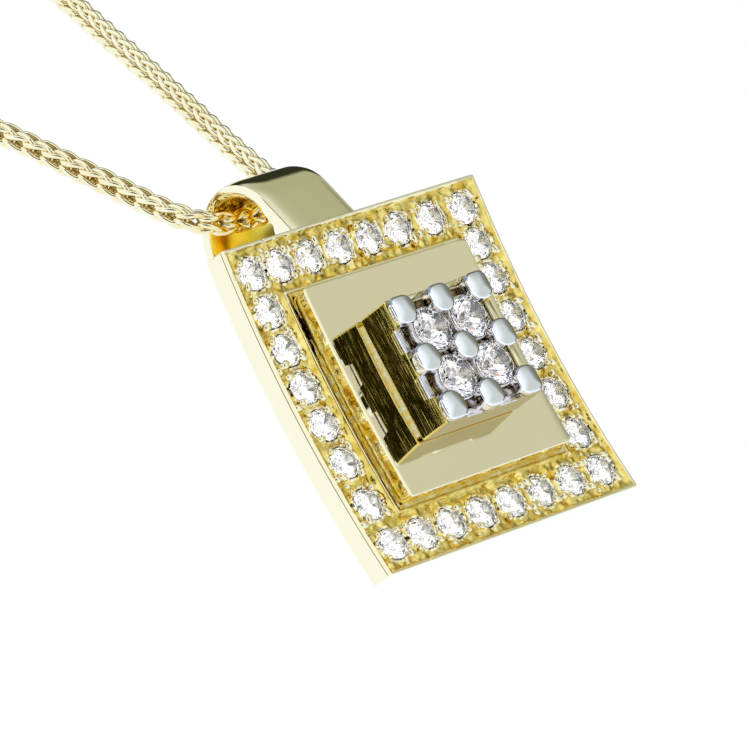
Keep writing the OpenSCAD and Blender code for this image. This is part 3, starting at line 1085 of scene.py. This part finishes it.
def brilliant(radius):
    """A round brilliant with its table to the front and the middle of its girdle at z = 0."""
    half_girdle = GIRDLE * radius / 2
    table_z = half_girdle + CROWN * radius
    slope = (table_z - half_girdle) / (radius - TABLE * radius)
    narrow = math.cos(math.radians(22.5))
    star_z = table_z - slope * (STAR * radius * narrow - TABLE * radius)
    culet_z = -half_girdle - PAVILION * radius
    lower_z = culet_z + PAVILION * LOWER_HALF * radius * narrow

    def ring(reach, count, first, z):
        turns = [math.radians(first + 360 * i / count) for i in range(count)]
        return [(reach * radius * math.cos(t), reach * radius * math.sin(t), z) for t in turns]

    points = ring(TABLE, 8, 0, table_z) + ring(STAR, 8, 22.5, star_z)
    points += ring(1, 16, 0, half_girdle) + ring(1, 16, 0, -half_girdle)
    points += ring(LOWER_HALF, 8, 22.5, lower_z) + [(0, 0, culet_z)]
    star = 8
    top = 16
    bottom = 32
    lower = 48
    culet = 56
    faces = [tuple(range(8))]
    for i in range(8):
        here = 2 * i
        after = (2 * i + 2) % 16
        faces.append((i, star + i, (i + 1) % 8))
        faces.append((i, star + (i + 7) % 8, top + here, star + i))
        faces.append((star + i, top + here, top + here + 1))
        faces.append((star + i, top + here + 1, top + after))
        faces.append((top + here, bottom + here, bottom + here + 1, top + here + 1))
        faces.append((top + here + 1, bottom + here + 1, bottom + after, top + after))
        faces.append((lower + i, bottom + here + 1, bottom + here))
        faces.append((lower + i, bottom + after, bottom + here + 1))
        faces.append((culet, lower + i, bottom + here, lower + (i + 7) % 8))
    return points, faces


def set_stone(radius, spot, normal, turn):
    """A brilliant moved to its seat and turned about its own middle."""
    points, faces = brilliant(radius)
    place = Matrix.Translation(spot) @ normal.to_track_quat("Z", "Y").to_matrix().to_4x4()
    place = place @ Matrix.Rotation(turn, 4, "Z")
    return [tuple(place @ Vector(p)) for p in points], faces


def make_stones(materials):
    """Every stone as a piece of its own, each turned a little differently in its seat."""
    clear, head_clear_painted_shade = materials
    cuts = []
    for i, (x, y) in enumerate(pave_places()):
        normal = Vector((0, -y, math.sqrt(BEND_R ** 2 - y * y))).normalized()
        spot = Vector((x, y, bend_height(y, BEND_R))) - GIRDLE_DROP * normal
        cuts.append(("pave_stone_%d" % (i + 1), PAVE_R, spot, normal, clear))
    half = PRONG_PITCH / 2
    for i, (x, y) in enumerate(((-half, half), (half, half), (-half, -half), (half, -half))):
        spot = Vector((x, y, STONE_GIRDLE))
        cuts.append(("head_stone_%d" % (i + 1), HEAD_R, spot, Vector((0, 0, 1)), head_clear_painted_shade))
    for node, radius, spot, normal, material in cuts:
        points, faces = set_stone(radius, spot, normal, math.radians(random.uniform(0, 45)))
        shape = (to_world(points), faces)
        finish_piece(node + "_cut", shape, [material], "pendant", node, 1)


# Chain of interlocking wheat links


LINK_PITCH = 0.92 * MM
WIRE_R = 0.11 * MM

# Links within this length of the bail are made finer. Past the bail at the right they turn by the twist.
FINE_REACH = 30 * MM
RIGHT_TWIST = math.radians(25)
TWIST_REACH = 4 * MM

# A quarter of a link, from the middle of its waist to the tip of its bight, in millimetres.
# Columns: height along the chain, distance out from its middle, half width
LINK_SHAPE = (
    (0, 0, 0.1),
    (0.02, 0.17, 0.1),
    (0.2, 0.31, 0.105),
    (0.46, 0.37, 0.14),
    (0.72, 0.34, 0.215),
    (0.95, 0.26, 0.255),
    (1.1, 0.18, 0.19),
    (1.15, 0.14, 0),
)
LINK_HIGH = LINK_SHAPE[-1][0] * MM

# The oval link at each end of the chain, which goes through the clasp's ring, in millimetres
END_LINK_X = 5.95
END_LINK_Y = 1.5
END_LINK_HALF = (0.85, 0.45)
END_WIRE_R = 0.15


def curve_point(a, b, c, d, s):
    """A point on the smooth curve through b and c, a part s of the way from b to c."""
    return 0.5 * (
        2 * b
        + (c - a) * s
        + (2 * a - 5 * b + 4 * c - d) * s ** 2
        + (3 * b - a - 3 * c + d) * s ** 3
    )


def route_points():
    """The chain's middle line from clasp to clasp, on the same smooth curve as the tube."""
    half = [np.array(p) for p in HALF_ROUTE]
    mirror = np.array([-1, 1, 1])
    knots = [p * mirror for p in reversed(half[1:])] + half
    count = len(knots)
    line = []
    for i in range(count - 1):
        a = knots[max(i - 1, 0)]
        b = knots[i]
        c = knots[i + 1]
        d = knots[min(i + 2, count - 1)]
        for s in np.linspace(0, 1, 24, endpoint=False):
            line.append(curve_point(a, b, c, d, s))
    line.append(knots[-1])
    return np.array(line)


class Route:
    """Places and directions at any length along the chain."""

    def __init__(self):
        self.line = route_points()
        steps = np.linalg.norm(np.diff(self.line, axis=0), axis=1)
        self.at = np.concatenate([[0], np.cumsum(steps)])
        self.length = self.at[-1]

    def point(self, s):
        return np.stack([np.interp(s, self.at, self.line[:, k]) for k in range(3)], axis=-1)

    def frame(self, s):
        """Place, direction ahead and the two directions across, for an array of lengths."""
        reach = 0.4 * MM
        ahead = self.point(s + reach) - self.point(s - reach)
        ahead /= np.linalg.norm(ahead, axis=-1, keepdims=True)
        side = np.cross(LOOP_NORMAL, ahead)
        side /= np.linalg.norm(side, axis=-1, keepdims=True)
        return self.point(s), ahead, side, np.cross(ahead, side)


def smooth_loop(knots, samples):
    """Evenly spaced points on the smooth closed curve through the knots."""
    fine = []
    count = len(knots)
    for i in range(count):
        a, b, c, d = (knots[(i + k) % count] for k in (-1, 0, 1, 2))
        for s in np.linspace(0, 1, 12, endpoint=False):
            fine.append(curve_point(a, b, c, d, s))
    fine = np.array(fine + [fine[0]])
    at = np.concatenate([[0], np.cumsum(np.linalg.norm(np.diff(fine, axis=0), axis=1))])
    even = np.linspace(0, at[-1], samples, endpoint=False)
    return np.stack([np.interp(even, at, fine[:, k]) for k in range(3)], axis=-1)


def link_curve(samples):
    """One folded link, closed: out, wide and along, in metres."""
    quarter = [np.array((out, wide, high)) * MM for high, out, wide in LINK_SHAPE]
    knots = []
    for out, wide, forward in ((1, 1, False), (-1, 1, True), (-1, -1, False), (1, -1, True)):
        part = quarter if forward else quarter[::-1]
        knots += [p * np.array((out, wide, 1)) for p in part[:-1]]
    return smooth_loop(knots, samples)


def wire_tube(centre, radius, guide, sides):
    """Points of a closed round wire along a closed line. guide is a direction that it never runs along."""
    tangent = np.roll(centre, -1, axis=0) - np.roll(centre, 1, axis=0)
    tangent /= np.linalg.norm(tangent, axis=1, keepdims=True)
    first = np.cross(tangent, guide)
    size = np.linalg.norm(first, axis=1, keepdims=True)
    first = first / np.maximum(size, 1e-9)
    second = np.cross(tangent, first)
    angles = 2 * np.pi * np.arange(sides) / sides
    around = (
        np.cos(angles)[None, :, None] * first[:, None, :]
        + np.sin(angles)[None, :, None] * second[:, None, :]
    )
    return (centre[:, None, :] + radius * around).reshape(-1, 3)


def tube_faces(samples, sides, base):
    i = np.arange(samples)[:, None]
    k = np.arange(sides)[None, :]
    ahead = (i + 1) % samples
    beside = (k + 1) % sides
    corners = (i * sides + k, ahead * sides + k, ahead * sides + beside, i * sides + beside)
    return base + np.stack(np.broadcast_arrays(*corners), axis=-1).reshape(-1, 4)


def make_links(route, chosen, samples, sides):
    """Links as one mesh: each is a closed wire, placed at its length along the route."""
    out, wide, along = link_curve(samples).T
    points = []
    faces = []
    for i in chosen:
        place, ahead, side, up = route.frame(i * LINK_PITCH / 2 + along)
        past_bail = (i * LINK_PITCH / 2 - route.length / 2) / TWIST_REACH
        turn = RIGHT_TWIST * smooth_step(past_bail) + math.pi / 2 * (i % 2)
        out_axis = math.cos(turn) * side + math.sin(turn) * up
        wide_axis = math.cos(turn) * up - math.sin(turn) * side
        centre = place + out[:, None] * out_axis + wide[:, None] * wide_axis
        faces.append(tube_faces(samples, sides, len(points) * samples * sides))
        guide = 0.97 * out_axis + 0.2 * ahead + 0.1 * wide_axis
        points.append(wire_tube(centre, WIRE_R, guide, sides))
    return np.concatenate(points), np.concatenate(faces)


def end_link(side):
    """The oval at one end, flat on the neck, through the clasp's ring."""
    samples = 48
    sides = 12
    turn = np.linspace(0, 2 * np.pi, samples, endpoint=False)
    x = side * END_LINK_X + END_LINK_HALF[0] * np.cos(turn)
    y = END_LINK_Y + END_LINK_HALF[1] * np.sin(turn)
    centre = np.stack([x, y, np.zeros(samples)], axis=-1)
    points = wire_tube(centre * MM, END_WIRE_R * MM, np.array([0, 0, 1]), sides)
    return points, tube_faces(samples, sides, 0)


def make_chain(material):
    route = Route()
    count = int((route.length - LINK_HIGH) / (LINK_PITCH / 2))
    near = int(FINE_REACH / (LINK_PITCH / 2))
    first = count // 2 - near
    last = count // 2 + near
    groups = (
        ("chain_left", range(0, first), 28, 6),
        ("chain_front", range(first, last), 56, 10),
        ("chain_right", range(last, count), 28, 6),
    )
    for name, chosen, samples, sides in groups:
        points, faces = make_links(route, chosen, samples, sides)
        shape = (points.tolist(), faces.tolist())
        finish_piece(name, shape, [material], "necklace", "chain", 60)
    for name, side in (("end_link_left", -1), ("end_link_right", 1)):
        points, faces = end_link(side)
        shape = (points.tolist(), faces.tolist())
        finish_piece(name, shape, [material], "necklace", "chain", 60)


def dress(node, material):
    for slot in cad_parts[node].material_slots:
        slot.material = material


def main():
    make_camera()
    make_world()
    make_floor()
    gold = polished_gold()
    soft = burnished_gold()
    solder = solder_gold()
    border_finishes = [gold, cast_gold_and_painted_shade(), seat_gold(), solder, slit_painted_shadow_gold()]
    dress("clasp", gold)
    pieces = (
        ("border", make_border(), border_finishes, "frame_and_bail", "yellow_gold", 50),
        ("beads", joined(make_beads() + make_grains()), [soft], "frame_and_bail", "yellow_gold", 80),
        ("bail", make_bail(), [gold, amber_gold()], "frame_and_bail", "yellow_gold", 50),
        ("plate", make_plate(), [gold, side_gold()], "centre_plate", "yellow_gold", 50),
        ("cube", make_cube(), [brushed_gold(), end_gold_painted_shade(), solder], "gold_cube", "yellow_gold", 50),
        ("pads", make_pads(), [white_gold(), white_gold_painted_shade()], "stone_head", "white_gold", 50),
        ("head_base", make_head_base(), [cast_white_gold(), soft], "stone_head", "white_gold", 50),
    )
    for name, shape, materials, node, slot, smooth in pieces:
        placed = (to_world(shape[0]), *shape[1:])
        finish_piece(name, placed, materials, "pendant", node, smooth)
    make_stones((border_stone(), head_stone()))
    make_chain(chain_gold())
    scene.view_settings.view_transform = "Standard"


main()
